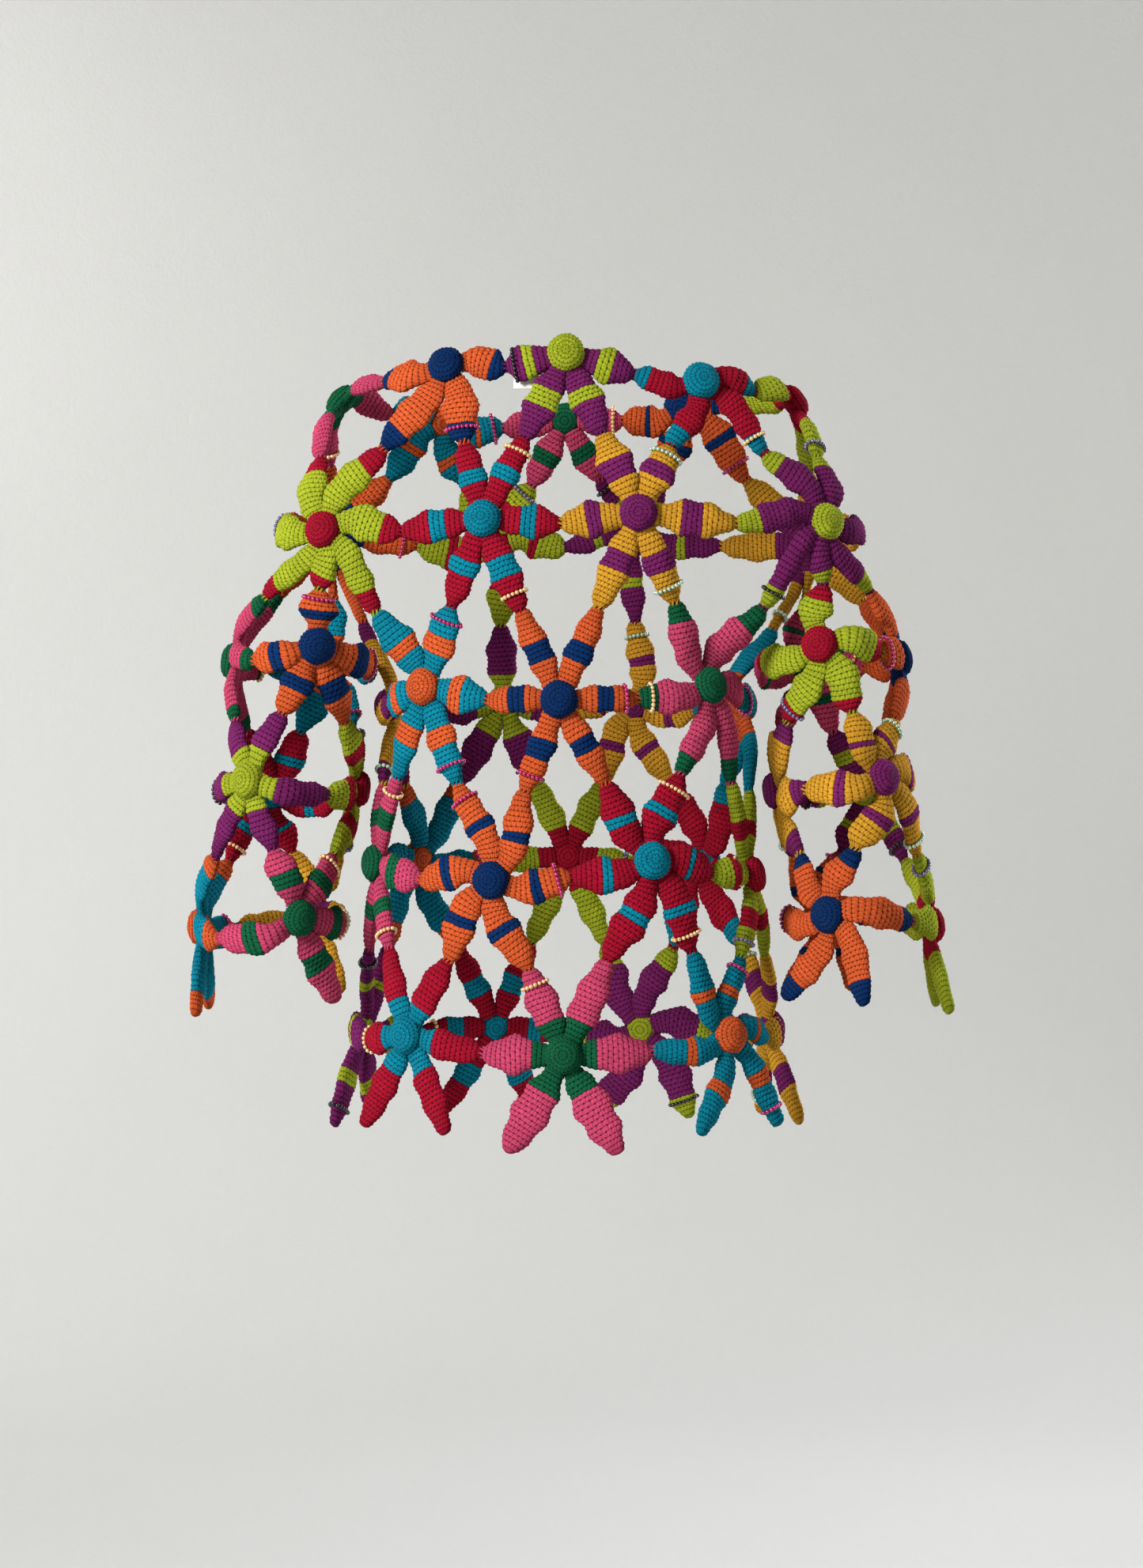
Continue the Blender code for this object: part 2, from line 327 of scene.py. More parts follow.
class Wire:
    """A node's output. Sums and products of wires add Math nodes to their tree."""

    def __init__(self, tree, socket=None):
        self.tree = tree
        self.socket = socket

    def node(self, kind, given=(), output=0, **settings):
        made = self.tree.nodes.new(kind)
        for name, setting in settings.items():
            setattr(made, name, setting)
        for place, value in given.items() if isinstance(given, dict) else enumerate(given):
            if isinstance(value, Wire):
                self.tree.links.new(value.socket, made.inputs[place])
            else:
                made.inputs[place].default_value = value
        return Wire(self.tree, made.outputs[output])

    def math(self, operation, *others):
        return self.node("ShaderNodeMath", (self, *others), operation=operation)

    def vector(self, operation, *others):
        return self.node("ShaderNodeVectorMath", (self, *others), operation=operation)

    def scaled(self, factor):
        return self.node("ShaderNodeVectorMath", {0: self, 3: factor}, operation="SCALE")

    def __add__(self, other):
        return self.math("ADD", other)

    def __radd__(self, other):
        return self.math("ADD", other)

    def __sub__(self, other):
        return self.math("SUBTRACT", other)

    def __rsub__(self, other):
        return Wire(self.tree).node("ShaderNodeMath", (other, self), operation="SUBTRACT")

    def __mul__(self, other):
        return self.math("MULTIPLY", other)

    def __rmul__(self, other):
        return self.math("MULTIPLY", other)

    def __truediv__(self, other):
        return self.math("DIVIDE", other)

    def __pow__(self, power):
        return self.math("POWER", power)

    def __abs__(self):
        return self.math("ABSOLUTE")

    def clamped(self):
        return self.math("MAXIMUM", 0).math("MINIMUM", 1)

    def contrasted(self, gain):
        return (self - 0.5) * gain + 0.5

    def from_middle(self):
        """0 in the middle of each whole step, and 1 at its ends."""
        return abs(self.math("FRACT") - 0.5) * 2


def linear(code):
    """A colour code such as #84276C as linear red, green, blue and alpha."""
    shares = [int(code[k:k + 2], 16) / 255 for k in (1, 3, 5)]
    return (*(s / 12.92 if s < 0.04045 else ((s + 0.055) / 1.055) ** 2.4 for s in shares), 1)


def mixed(factor, low, high):
    """The low colour where the factor is 0, and the high one where it is 1."""
    return factor.node("ShaderNodeMix", {0: factor, 6: low, 7: high}, output=2, data_type="RGBA")


def shade_of(colour, share):
    return (*(c * share for c in colour[:3]), 1)


def painted_shade_of(colour, share):
    """The yarn's colour with painted shade in a fold, deepened as by light from the yarn itself."""
    return (*(c**PAINTED_SHADE_DEEPENING * share for c in colour[:3]), 1)


def noise_at(spot, scale, detail):
    return spot.node("ShaderNodeTexNoise", {"Vector": spot, "Scale": scale, "Detail": detail})


def new_surface(name):
    """A new material's shader, and a wire to start its tree with."""
    made = bpy.data.materials.new(name)
    made.use_nodes = True
    return made, made.node_tree.nodes["Principled BSDF"], Wire(made.node_tree)


def finish_surface(shader, body, rough, height=None, strength=1.0, distance=0.001):
    """Links the colour, the roughness and, where it has a relief, the bump."""
    links = body.tree.links
    links.new(body.socket, shader.inputs["Base Color"])
    links.new(rough.socket, shader.inputs["Roughness"])
    if height:
        given = {"Strength": strength, "Distance": distance, "Height": height}
        links.new(height.node("ShaderNodeBump", given).socket, shader.inputs["Normal"])


def stitch_share(from_pole):
    """How many of a full round's stitches a round has, as a share: fewer near a ball's pole."""
    return ((from_pole.math("FLOOR") + 1) / ROUNDS_TO_FULL).math("MINIMUM", 1)


# The yarn's tones on its loops and the painted shade in its folds, in the grooves between
# rounds and in the holes between stitches, and the size of its strands, its fibres and its
# lighter and darker patches
LIT_SHADES = (0.86, 1.16)
FOLD_PAINTED_SHADE = 0.42
GROOVE_PAINTED_SHADE = 0.30
HOLE_PAINTED_SHADE = 0.12
PAINTED_SHADE_DEEPENING = 1.3
GROOVE_PAINTED_SHADE_STRENGTH = 0.52
HOLE_PAINTED_SHADE_STRENGTH = 0.85
STRAND_TWIST = 9
STRAND_CONTRAST = 1.9
FIBRE_SCALE = 2400.0
FIBRE_CONTRAST = 1.5
PATCH_SCALE = 60.0
STITCH_RELIEF = 0.0018


def yarn_material(name, code):
    """Single crochet in plied cotton: rounds of small knots, with shade painted into the folds, the
    grooves between rounds and the holes between stitches.
    """
    made, shader, start = new_surface(f"cotton yarn {name}")
    place = start.node("ShaderNodeUVMap", uv_map="stitches")
    around = place.node("ShaderNodeSeparateXYZ", (place,), output=0)
    rounds = place.node("ShaderNodeSeparateXYZ", (place,), output=1)
    through = rounds.math("FRACT")
    pole = start.node("ShaderNodeAttribute", attribute_name="from_pole", output=2)
    tone = start.node("ShaderNodeAttribute", attribute_name="tone", output=2)
    stitch = around * stitch_share(pole) + 0.5 * rounds.math("FLOOR")
    whole = start.node("ShaderNodeCombineXYZ", (stitch.math("FLOOR"), rounds.math("FLOOR"), tone))
    own = start.node("ShaderNodeTexWhiteNoise", {"Vector": whole}, noise_dimensions="3D")
    from_column, from_round = stitch.from_middle(), rounds.from_middle()
    lean = (from_column - 0.5 * through) * STRAND_TWIST
    grain = start.node("ShaderNodeCombineXYZ", (lean, rounds * 1.3, own * 40))
    strands = noise_at(grain, 1.0, 4.0).contrasted(STRAND_CONTRAST).clamped()
    # A stitch stands up as a knot with a slanting leg, in a round that sinks at both edges
    knot = 1 - from_column**3
    ridge = 1 - 0.72 * from_round**4
    leg = (1 - ((from_column - 0.22 - 0.50 * through) * 2.9) ** 2).math("MAXIMUM", 0)
    relief = ridge * (0.22 + 0.28 * knot + 0.28 * leg + 0.12 * strands + 0.10 * own)
    # A hole lies between two rounds, where the corners of their stitches meet
    gap = around * stitch_share(pole) + 0.5 * (rounds + 0.5).math("FLOOR")
    corner = gap.from_middle() ** 2 * from_round**2
    hole = ((corner - 0.25) * 1.9).clamped()
    # Where painted shade falls, in the grooves where two rounds meet
    groove_painted_shade_mask = from_round**5 * (0.5 + 0.5 * strands)

    spot = start.node("ShaderNodeTexCoord", output=3)
    fibre = noise_at(spot, FIBRE_SCALE, 4.0).contrasted(FIBRE_CONTRAST)
    patch = noise_at(spot, PATCH_SCALE, 2.0)
    colour = linear(code)
    lit = mixed(patch, *(shade_of(colour, share) for share in LIT_SHADES))
    # Painted shade: where the relief sinks into folds, the colour darkens to a deeper copy of the yarn,
    # broken up by fibres and strands
    depth = (relief * 1.6).math("MINIMUM", 1) * (0.40 + 0.68 * fibre + 0.50 * strands)
    body = mixed(depth, painted_shade_of(colour, FOLD_PAINTED_SHADE), lit)
    # Painted shade in the grooves between rounds
    body = mixed(groove_painted_shade_mask * GROOVE_PAINTED_SHADE_STRENGTH, body, painted_shade_of(colour, GROOVE_PAINTED_SHADE))
    # Painted shade in the holes between stitches; the bump below sinks them too
    body = mixed(hole * HOLE_PAINTED_SHADE_STRENGTH, body, painted_shade_of(colour, HOLE_PAINTED_SHADE))
    height = relief + 0.30 * strands + 0.30 * fibre - 0.9 * hole
    finish_surface(shader, body, 0.80 + 0.14 * fibre, height, 1.0, STITCH_RELIEF)
    shader.inputs["Sheen Weight"].default_value = 0.06
    shader.inputs["Sheen Tint"].default_value = (*((c + 0.25) / 1.25 for c in colour[:3]), 1)
    shader.inputs["Sheen Roughness"].default_value = 0.5
    shader.inputs["Specular IOR Level"].default_value = 0.05
    return made


yarns = {name: yarn_material(name, code) for name, code in YARN_COLOURS.items()}


def tree_with_inputs(name, *inputs):
    """A new geometry tree, with a geometry input and these named ones after it."""
    tree = bpy.data.node_groups.new(name, "GeometryNodeTree")
    tree.interface.new_socket("Geometry", in_out="INPUT", socket_type="NodeSocketGeometry")
    for label, kind in inputs:
        tree.interface.new_socket(label, in_out="INPUT", socket_type=f"NodeSocket{kind}")
    tree.interface.new_socket("Geometry", in_out="OUTPUT", socket_type="NodeSocketGeometry")
    entry = tree.nodes.new("NodeGroupInput")
    return tree, [Wire(tree, socket) for socket in entry.outputs[:-1]]


def end_tree(geometry):
    leave = geometry.tree.nodes.new("NodeGroupOutput")
    geometry.tree.links.new(geometry.socket, leave.inputs[0])


def named(start, name, kind="FLOAT"):
    return start.node("GeometryNodeInputNamedAttribute", {"Name": name}, data_type=kind)


def stored(geometry, name, value, kind="FLOAT", domain="POINT"):
    return geometry.node(
        "GeometryNodeStoreNamedAttribute",
        {"Geometry": geometry, "Name": name, "Value": value},
        data_type=kind,
        domain=domain,
    )


def crochet_tree():
    """Middle lines in, closed stuffed tubes with rounds of single crochet out."""
    tree, (lines, stitches, rib_depth, stitch_depth, slant, wobble, main, second) = tree_with_inputs(
        "stuffed crochet",
        ("Stitches round", "Int"),
        ("Rib depth", "Float"),
        ("Stitch depth", "Float"),
        ("Slant", "Float"),
        ("Hand wobble", "Float"),
        ("Main yarn", "Material"),
        ("Second yarn", "Material"),
    )
    start = Wire(tree)
    spot = start.node("GeometryNodeInputPosition")
    curves = start.node("GeometryNodeMeshToCurve", {"Mesh": lines})
    curves = stored(curves, "middle", spot, "FLOAT_VECTOR")
    columns = stitches * 2
    rim = start.node("GeometryNodeCurvePrimitiveLine")
    rim = start.node("GeometryNodeResampleCurve", {"Curve": rim, "Count": columns + 1})
    index = start.node("GeometryNodeInputIndex")
    rim = stored(rim, "around", index / columns)
    tube = start.node("GeometryNodeCurveToMesh", {"Curve": curves, "Profile Curve": rim})

    around, rounds = named(start, "around"), named(start, "round")
    fewer = stitch_share(named(start, "from_pole"))
    rib = abs((rounds * math.pi).math("SINE")) - 1
    stitch = around * stitches * fewer + 0.5 * rounds.math("FLOOR")
    notch = abs((stitch * math.pi).math("SINE")) - 1
    relief = rib * rib_depth + notch * stitch_depth + (rib_depth + stitch_depth) * RELIEF_OUTSIDE
    width, height = named(start, "half_width"), named(start, "half_height")
    relief = relief * (width / FULL_RELIEF_WIDTH).math("MINIMUM", 1)
    angle = (around + rounds * slant / stitches) * math.tau
    sideways = named(start, "across", "FLOAT_VECTOR").scaled(angle.math("COSINE") * (width + relief))
    outwards = named(start, "out", "FLOAT_VECTOR").scaled(angle.math("SINE") * (height + relief))
    place = named(start, "middle", "FLOAT_VECTOR").vector("ADD", sideways).vector("ADD", outwards)
    lumps = {"Vector": place, "Scale": WOBBLE_SCALE, "Detail": 3.0}
    uneven = start.node("ShaderNodeTexNoise", lumps, output=1)
    uneven = uneven.vector("SUBTRACT", (0.5, 0.5, 0.5)).scaled(wobble)
    tube = start.node(
        "GeometryNodeSetPosition",
        {"Geometry": tube, "Position": place.vector("ADD", uneven)},
    )
    flat = start.node("ShaderNodeCombineXYZ", (around * stitches, rounds, 0.0))
    tube = stored(tube, "stitches", flat, "FLOAT2", "CORNER")
    tube = start.node("GeometryNodeMergeByDistance", {"Geometry": tube, "Distance": WELD})
    tube = start.node("GeometryNodeSetShadeSmooth", {"Geometry": tube})
    tube = start.node("GeometryNodeRealizeInstances", {"Geometry": tube})
    tube = start.node("GeometryNodeSetMaterial", {"Geometry": tube, "Material": main})
    in_second = named(start, "second").math("GREATER_THAN", IN_SECOND)
    tube = start.node(
        "GeometryNodeSetMaterial",
        {"Geometry": tube, "Selection": in_second, "Material": second},
    )
    end_tree(tube)
    return tree


def noded_mesh(name, source, tree, **inputs):
    """The plain mesh that a geometry tree makes of a source mesh with these inputs."""
    holder = bpy.data.objects.new(name, source)
    bpy.context.scene.collection.objects.link(holder)
    modifier = holder.modifiers.new(tree.name, "NODES")
    modifier.node_group = tree
    for item in tree.interface.items_tree:
        if item.in_out == "INPUT" and item.name.replace(" ", "_") in inputs:
            modifier[item.identifier] = inputs[item.name.replace(" ", "_")]
    bpy.context.view_layer.update()
    graph = bpy.context.evaluated_depsgraph_get()
    made = bpy.data.meshes.new_from_object(holder.evaluated_get(graph))
    bpy.data.objects.remove(holder)
    return made


def finished_piece(name, meshes, nodes=()):
    """One object of several closed meshes, facing outwards, that rides on the sweater."""
    bm = bmesh.new()
    palette = []
    for mesh in meshes:
        first = len(bm.faces)
        bm.from_mesh(mesh)
        bm.faces.ensure_lookup_table()
        for face in bm.faces[first:]:
            material = mesh.materials[face.material_index]
            if material not in palette:
                palette.append(material)
            face.material_index = palette.index(material)
    bmesh.ops.recalc_face_normals(bm, faces=bm.faces)
    joined = bpy.data.meshes.new(name)
    bm.to_mesh(joined)
    bm.free()
    for material in palette:
        joined.materials.append(material)
    piece = bpy.data.objects.new(name, joined)
    bpy.context.scene.collection.objects.link(piece)
    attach(piece, "root")
    if nodes:
        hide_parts(*nodes)
    return piece


Ring = namedtuple("Ring", "middle across out half_width half_height round from_pole second tone")


def line_mesh(name, lines):
    """Chains of points, one for each tube, that carry each ring's size and directions."""
    mesh = bpy.data.meshes.new(name)
    points, edges = [], []
    for line in lines:
        edges += [(len(points) + k, len(points) + k + 1) for k in range(len(line) - 1)]
        points += line
    mesh.from_pydata([ring.middle for ring in points], edges, [])
    for field in Ring._fields[1:]:
        vector = field in ("across", "out")
        made = mesh.attributes.new(field, "FLOAT_VECTOR" if vector else "FLOAT", "POINT")
        values = [getattr(ring, field) for ring in points]
        if vector:
            made.data.foreach_set("vector", [part for value in values for part in value])
        else:
            made.data.foreach_set("value", values)
    return mesh


def petal_half_width(petal, share):
    straight = PETAL_BASE_HALF_WIDTH * (1 - share) + PETAL_TIP_HALF_WIDTH * share
    return straight + petal.bulge * math.sin(math.pi * share)


def petal_height(share):
    swell = PETAL_BASE_HEIGHT + (PETAL_CROWN_HEIGHT - PETAL_BASE_HEIGHT) * min(1, 3 * share)
    return swell + (TIP_HEIGHT - PETAL_CROWN_HEIGHT) * share**3


def petal_place(petal, distance, length):
    """The inner face's middle, way and normal at a distance from the root, and the share there."""
    straight = DISC_RADIUS - PETAL_ROOT
    if distance < straight:
        back = petal.start_way * (distance - straight)
        return petal.start + back, petal.start_way, petal.start_normal, 0
    share = (distance - straight) / (length - straight)
    return *along_petal(petal, share), share


def petal_length(petal):
    points = [along_petal(petal, k / LENGTH_STEPS)[0] for k in range(LENGTH_STEPS + 1)]
    curve = sum((b - a).length for a, b in zip(points, points[1:]))
    return DISC_RADIUS - PETAL_ROOT + curve


def stuffing(flower, number, row):
    """How much thicker or thinner than its plan a petal is there, as a share."""
    turn = LUMP_RATES[0] * row + LUMP_RATES[1] * number + flower.number
    return 1 + STUFFING_LUMPS * math.sin(turn)


def petal_line(flower, petal, number):
    length = petal_length(petal)
    rounds = round(length / ROUND_PITCH)
    low, high = BANDS[flower.number % len(BANDS)]
    band = (round(low * rounds), round(high * rounds))
    rings = [k / RINGS_PER_ROUND for k in range(RINGS_PER_ROUND * rounds)]
    rings += [rounds - left for left in CLOSING_ROUNDS]
    line = []
    blunt = SEWN_TIP if petal.sewn_to else 1
    for row in rings:
        distance = length * row / rounds
        point, way, normal, share = petal_place(petal, distance, length)
        closing = blunt * max(0, (distance - length + TIP_ROUNDING) / TIP_ROUNDING)
        opening = max(0, 1 - distance / ROOT_ROUNDING)
        full = math.sqrt(max(0, 1 - closing**2)) * math.sqrt(max(0, 1 - opening**2))
        full *= row < rounds
        half_height = petal_height(share) / 2
        line.append(Ring(
            middle=point + normal * half_height,
            across=normal.cross(way),
            out=normal,
            half_width=petal_half_width(petal, share) * full * stuffing(flower, number, row),
            half_height=half_height * full,
            round=row,
            from_pole=FAR_FROM_POLE,
            second=float(band[0] <= row <= band[1]),
            tone=0.5 + 0.5 * math.sin(TONE_RATE * number + flower.number),
        ))
    return line


def button_profile():
    """(height, radius) along the ball's side, from its inner pole to its outer one."""
    profile = []
    for k in range(PROFILE_STEPS + 1):
        turn = math.pi * k / PROFILE_STEPS
        radius = BUTTON_RADIUS * max(0, math.sin(turn)) ** BUTTON_FULLNESS
        profile.append((BUTTON_HEIGHT / 2 * (1 - math.cos(turn)), radius))
    return profile


def button_line(flower):
    profile = button_profile()
    travel = [0.0]
    for (h0, r0), (h1, r1) in zip(profile, profile[1:]):
        travel.append(travel[-1] + math.hypot(h1 - h0, r1 - r0))
    rounds = round(travel[-1] / ROUND_PITCH)
    sideways, upwards = flower_plane(flower)
    line = []
    for k in range(RINGS_PER_ROUND * rounds + 1):
        row = k / RINGS_PER_ROUND
        wanted = travel[-1] * row / rounds
        nearest = min(range(len(travel)), key=lambda i: abs(travel[i] - wanted))
        height, radius = profile[nearest]
        line.append(Ring(
            middle=flower.centre + flower.normal * height,
            across=sideways,
            out=upwards,
            half_width=radius,
            half_height=radius,
            round=row,
            from_pole=min(row, rounds - row - 0.001),
            second=1.0,
            tone=0.5 + 0.5 * math.sin(flower.number),
        ))
    return line


def whip_lines(flower, petal):
    """Short threads over the point where this petal's tip meets the next flower's."""
    middle = petal.end + petal.end_normal * TIP_HEIGHT / 2
    across = petal.end_normal.cross(petal.end_way)
    lines = []
    for stitch in range(WHIP_STITCHES):
        turn = math.tau * (stitch + 0.5 * math.sin(flower.number)) / WHIP_STITCHES
        line = []
        for step in range(-WHIP_HALF_STEPS, WHIP_HALF_STEPS + 1):
            along = step / WHIP_HALF_STEPS
            angle = turn + WHIP_TURN * along
            sway = WHIP_CROWN - WHIP_SINK * along**2
            radius = THREAD_RADIUS if abs(step) < WHIP_HALF_STEPS else 0
            line.append(Ring(
                middle=middle
                + petal.end_way * (WHIP_REACH * along)
                + across * (sway * PETAL_TIP_HALF_WIDTH * math.cos(angle))
                + petal.end_normal * (sway * TIP_HEIGHT / 2 * math.sin(angle)),
                across=across * math.sin(angle) - petal.end_normal * math.cos(angle),
                out=across * math.cos(angle) + petal.end_normal * math.sin(angle),
                half_width=radius,
                half_height=radius,
                round=0.5,
                from_pole=FAR_FROM_POLE,
                second=0.0,
                tone=1.0,
            ))
        lines.append(line)
    return lines


crochet = crochet_tree()
for yarn in YARN_ORDER:
    same_yarn = [flower for flower in flowers if flower.yarn == yarn]
    settings = {
        "Rib_depth": 0.0009,
        "Stitch_depth": 0.0010,
        "Slant": 0.10,
        "Hand_wobble": 0.0032,
        "Main_yarn": yarns[yarn],
        "Second_yarn": yarns[SECOND_YARN[yarn]],
    }
    petal_lines = [
        petal_line(flower, petal, number)
        for flower in same_yarn
        for number, petal in enumerate(petals[flower.node])
    ]
    petal_mesh = noded_mesh(
        f"petals {yarn}",
        line_mesh(f"petal lines {yarn}", petal_lines),
        crochet,
        Stitches_round=PETAL_STITCHES,
        **settings,
    )
    button_mesh = noded_mesh(
        f"buttons {yarn}",
        line_mesh(f"button lines {yarn}", [button_line(flower) for flower in same_yarn]),
        crochet,
        Stitches_round=BUTTON_STITCHES,
        **settings,
    )
    thread_lines = [
        line
        for flower in same_yarn
        for petal in petals[flower.node]
        if petal.sewn_to and petal.sewn_to.number > flower.number
        for line in whip_lines(flower, petal)
    ]
    thread_mesh = noded_mesh(
        f"whip stitches {yarn}",
        line_mesh(f"whip lines {yarn}", thread_lines),
        crochet,
        Stitches_round=THREAD_STITCHES,
        **(settings | {"Hand_wobble": 0.0}),
    )
    piece = finished_piece(
        f"crochet_flowers_{yarn}",
        (petal_mesh, button_mesh, thread_mesh),
        [flower.node for flower in same_yarn],
    )

# The beads. A string of small round glass beads, with a pearl or metal lustre, is tied
# round about one petal in four, near its tip. The petal's yarn decides the beads' colour.
BEAD_RADIUS = 0.0019
BEAD_STEP = 2.04
BEAD_SINK = 0.2
BEAD_SHARE = 0.80
BEAD_EVERY = 4
BEAD_SIZES = (0.9, 1.06)
BEAD_SEED = 5
BEAD_SHADES = (0.65, 1.25)
BATCH_SCALE = 260.0
SMEAR_SCALE = 1500.0
LOOP_POINTS = 32
BEAD_COLOURS = {
    "black": ("#0B0A0E", ("purple",)),
    "magenta": ("#B01765", ("teal", "orange")),
    "gold": ("#E8BE83", ("red", "pink")),
    "green": ("#A9C8AE", ("gold",)),
    "violet": ("#6C6488", ("lime",)),
}


def bead_material(name, code):
    """Lustred glass: each bead a little lighter or darker, with a clear hard surface."""
    made, shader, start = new_surface(f"glass beads {name}")
    spot = start.node("ShaderNodeTexCoord", output=3)
    colour = linear(code)
    batch = noise_at(spot, BATCH_SCALE, 0.0)
    body = mixed(batch, *(shade_of(colour, share) for share in BEAD_SHADES))
    finish_surface(shader, body, 0.14 + 0.16 * noise_at(spot, SMEAR_SCALE, 2.0))
    shader.inputs["Metallic"].default_value = 0.35
    shader.inputs["Coat Weight"].default_value = 0.7
    shader.inputs["Coat Roughness"].default_value = 0.08
    return made


def bead_tree():
    """Closed loops in, a round bead at every step along them out."""
    tree, (loops, radius, material) = tree_with_inputs(
        "bead strings", ("Bead radius", "Float"), ("Bead material", "Material")
    )
    start = Wire(tree)
    curves = start.node("GeometryNodeMeshToCurve", {"Mesh": loops})
    step = radius * BEAD_STEP
    curves = start.node("GeometryNodeResampleCurve", {"Curve": curves, "Length": step}, mode="LENGTH")
    ball = {"Segments": 8, "Rings": 5, "Radius": radius}
    bead = start.node("GeometryNodeMeshUVSphere", ball)
    sizes = {2: BEAD_SIZES[0], 3: BEAD_SIZES[1], "Seed": BEAD_SEED}
    size = start.node("FunctionNodeRandomValue", sizes, output=1)
    beads = start.node(
        "GeometryNodeInstanceOnPoints", {"Points": curves, "Instance": bead, "Scale": size}
    )
    beads = start.node("GeometryNodeRealizeInstances", {"Geometry": beads})
    beads = start.node("GeometryNodeSetShadeSmooth", {"Geometry": beads})
    end_tree(start.node("GeometryNodeSetMaterial", {"Geometry": beads, "Material": material}))
    return tree


def bead_loop(flower, petal, number):
    """Points of an oval that lies on the petal's crochet, all the way round it."""
    length = petal_length(petal)
    distance = BEAD_SHARE * length
    point, way, normal, share = petal_place(petal, distance, length)
    half_height = petal_height(share) / 2
    lump = stuffing(flower, number, distance / length * round(length / ROUND_PITCH))
    wide = petal_half_width(petal, share) * lump + (1 - BEAD_SINK) * BEAD_RADIUS
    high = half_height + (1 - BEAD_SINK) * BEAD_RADIUS
    across = normal.cross(way)
    turns = [math.tau * k / LOOP_POINTS for k in range(LOOP_POINTS)]
    middle = point + normal * half_height
    return [middle + across * wide * math.cos(t) + normal * high * math.sin(t) for t in turns]


strings = bead_tree()
for name, (code, wearers) in BEAD_COLOURS.items():
    loops = [
        bead_loop(flower, petal, number)
        for flower in flowers
        if flower.yarn in wearers
        for number, petal in enumerate(petals[flower.node])
        if (number + flower.number) % BEAD_EVERY == 0
    ]
    loop_mesh = bpy.data.meshes.new(f"bead loops {name}")
    edges = []
    for start in range(0, len(loops) * LOOP_POINTS, LOOP_POINTS):
        edges += [(start + k, start + (k + 1) % LOOP_POINTS) for k in range(LOOP_POINTS)]
    loop_mesh.from_pydata([point for loop in loops for point in loop], edges, [])
    bead_mesh = noded_mesh(
        f"beads {name}",
        loop_mesh,
        strings,
        Bead_radius=BEAD_RADIUS,
        Bead_material=bead_material(name, code),
    )
    finished_piece(f"bead_strings_{name}", (bead_mesh,))

# The neck label. A blank tab of white woven satin tape, folded once and sewn in along its
# top edge behind a petal at the back of the neck, so that only a corner shows from outside.
LABEL_WIDTH = 0.022
LABEL_LENGTH = 0.018
LABEL_DROP = 0.011
LABEL_THICKNESS = 0.0008
TAPE_THICKNESS = 0.00024
LABEL_GAP = 0.0012
LABEL_CURL = 0.00072
LABEL_STEPS = 12
TAPE_COLOURS = ("#CFCDCA", "#F1EFEC")
WARP_SCALE = 380.0
WEFT_SCALE = 3200.0

label_petal = min(petals["back_neck_middle"], key=lambda p: p.end.x)
point, way, normal = along_petal(label_petal, 0.5)
downwards = in_plane(Vector((0, 0, -1)), normal)
sideways = normal.cross(downwards)
middle = point + downwards * LABEL_DROP - normal * (LABEL_GAP + LABEL_THICKNESS / 2)
bm = bmesh.new()
rows = []
for i in range(LABEL_STEPS + 1):
    u = i / LABEL_STEPS - 0.5
    row = []
    for k in range(LABEL_STEPS + 1):
        v = k / LABEL_STEPS - 0.5
        curl = LABEL_CURL * math.sin(math.pi * (v + 0.5)) * (0.5 - u)
        corner = middle + sideways * (LABEL_WIDTH * v) + downwards * (LABEL_LENGTH * u)
        row.append(bm.verts.new(corner - normal * curl))
    rows.append(row)
for upper, lower in zip(rows, rows[1:]):
    for a, b, c, d in zip(upper, upper[1:], lower[1:], lower):
        bm.faces.new((a, b, c, d))
flat_faces = bm.faces[:]
raised = bmesh.ops.extrude_face_region(bm, geom=flat_faces, use_keep_orig=True)
for made in raised["geom"]:
    if isinstance(made, bmesh.types.BMVert):
        made.co -= normal * (2 * TAPE_THICKNESS)
label_mesh = bpy.data.meshes.new("neck label")
bm.to_mesh(label_mesh)
bm.free()
satin, satin_shader, start = new_surface("woven satin tape")
spot = start.node("ShaderNodeTexCoord", output=3)
warp = spot.node("ShaderNodeTexWave", {"Vector": spot, "Scale": WARP_SCALE}, bands_direction="Z")
weave = 0.5 * warp + 0.5 * noise_at(spot, WEFT_SCALE, 1.0)
body = mixed(weave, *(linear(code) for code in TAPE_COLOURS))
finish_surface(satin_shader, body, 0.42 + 0.2 * weave, weave, 0.4, 0.0002)
label_mesh.materials.append(satin)
label = finished_piece("neck_label_tape", (label_mesh,), ["neck_label"])

# The room is bare: a floor of pale, rolled, matt paint that curves up all round into a low
# wall. A wide soft light left of the camera stands for a window. A second one lights the
# wall on that side, and a weaker one fills in from behind the sweater on the right.
FLOOR_HEIGHT = -1.42
FLOOR_RADIUS = 2.2
SWEEP_RADIUS = 1.6
WALL_HEIGHT = 2.6
SWEEP_STEPS = 12
FLOOR_SIDES = 96
FLOOR_PAINT = (0.60, 0.60, 0.588, 1)
PAINT_SHADES = (0.965, 1.035)
PEEL_SCALE = 110.0
CLOUD_SCALE = 1.4
LIGHT_SPREAD_DEG = 140
WARM_DAY = (1.0, 0.985, 0.96)
COOL_DAY = (0.95, 0.975, 1.0)
SKY = (0.93, 0.96, 1.0, 1)
SKY_STRENGTH = 0.27
CAMERA_PLACE = (0.0045, -2.3, -0.346)
CAMERA_LENS_MM = 60.5
CAMERA_SENSOR_MM = 36

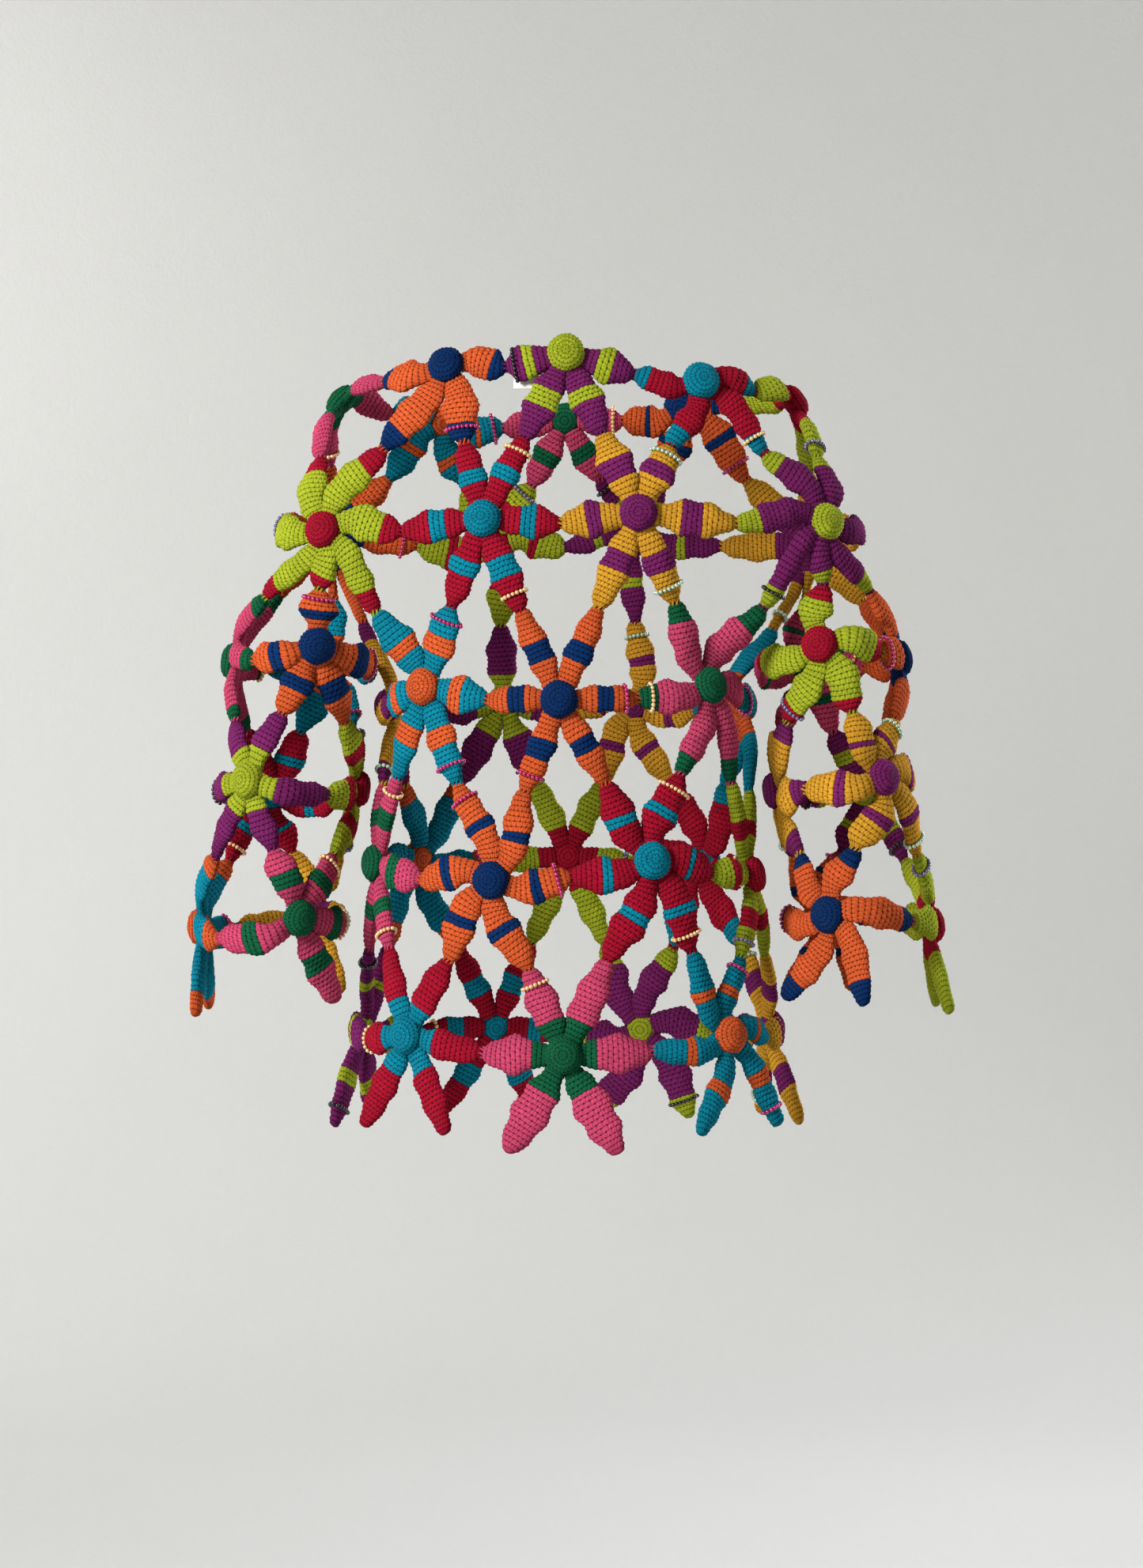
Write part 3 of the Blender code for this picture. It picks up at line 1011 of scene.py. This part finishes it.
profile = [Vector((0, 0, FLOOR_HEIGHT)), Vector((FLOOR_RADIUS, 0, FLOOR_HEIGHT))]
for k in range(1, SWEEP_STEPS + 1):
    turn = math.pi / 2 * k / SWEEP_STEPS
    out = FLOOR_RADIUS + SWEEP_RADIUS * math.sin(turn)
    profile.append(Vector((out, 0, FLOOR_HEIGHT + SWEEP_RADIUS * (1 - math.cos(turn)))))
profile.append(profile[-1] + Vector((0, 0, WALL_HEIGHT)))
bm = bmesh.new()
chain = [bm.verts.new(point) for point in profile]
line = chain + [bm.edges.new(pair) for pair in zip(chain, chain[1:])]
turning = {"axis": (0, 0, 1), "cent": (0, 0, 0), "angle": math.tau, "steps": FLOOR_SIDES}
bmesh.ops.spin(bm, geom=line, **turning)
bmesh.ops.remove_doubles(bm, verts=bm.verts, dist=0.0005)
bmesh.ops.recalc_face_normals(bm, faces=bm.faces)
if bm.faces[0].normal.z < 0:
    bmesh.ops.reverse_faces(bm, faces=bm.faces)
for face in bm.faces:
    face.smooth = True
sweep = bpy.data.meshes.new("pale floor")
bm.to_mesh(sweep)
bm.free()
paint, paint_shader, start = new_surface("matt pale paint")
spot = start.node("ShaderNodeTexCoord", output=3)
peel = noise_at(spot, PEEL_SCALE, 2.0)
cloud = noise_at(spot, CLOUD_SCALE, 2.0)
body = mixed(0.7 * cloud + 0.3 * peel, *(shade_of(FLOOR_PAINT, share) for share in PAINT_SHADES))
finish_surface(paint_shader, body, 0.84 + 0.12 * peel, peel, 0.5, 0.0016)
sweep.materials.append(paint)
floor = bpy.data.objects.new("floor", sweep)
bpy.context.scene.collection.objects.link(floor)


def soft_light(name, place, target, size, power, colour):
    light = bpy.data.lights.new(name, "AREA")
    light.shape = "DISK"
    light.size = size
    light.energy = power
    light.color = colour
    light.spread = math.radians(LIGHT_SPREAD_DEG)
    lamp = bpy.data.objects.new(name, light)
    lamp.location = place
    lamp.rotation_euler = (Vector(target) - Vector(place)).to_track_quat("-Z", "Y").to_euler()
    bpy.context.scene.collection.objects.link(lamp)


soft_light("window light", (-2.2, -2.3, 0.9), (0, 0, -0.25), size=1.3, power=100, colour=WARM_DAY)
soft_light("wall light", (-3.0, 1.2, 1.4), (-2.2, 3.6, 0.8), size=1.2, power=52, colour=WARM_DAY)
soft_light("far light", (2.6, 1.7, 0.8), (0, 0, -0.3), size=1.8, power=66, colour=COOL_DAY)
bpy.context.scene.view_settings.view_transform = "Standard"
world = bpy.data.worlds.new("even daylight")
world.use_nodes = True
daylight = world.node_tree.nodes["Background"]
daylight.inputs["Color"].default_value = SKY
daylight.inputs["Strength"].default_value = SKY_STRENGTH
bpy.context.scene.world = world

camera_data = bpy.data.cameras.new("camera")
camera_data.lens = CAMERA_LENS_MM
camera_data.sensor_width = CAMERA_SENSOR_MM
camera = bpy.data.objects.new("camera", camera_data)
camera.location = CAMERA_PLACE
camera.rotation_euler = (math.pi / 2, 0, 0)
bpy.context.scene.collection.objects.link(camera)
bpy.context.scene.camera = camera
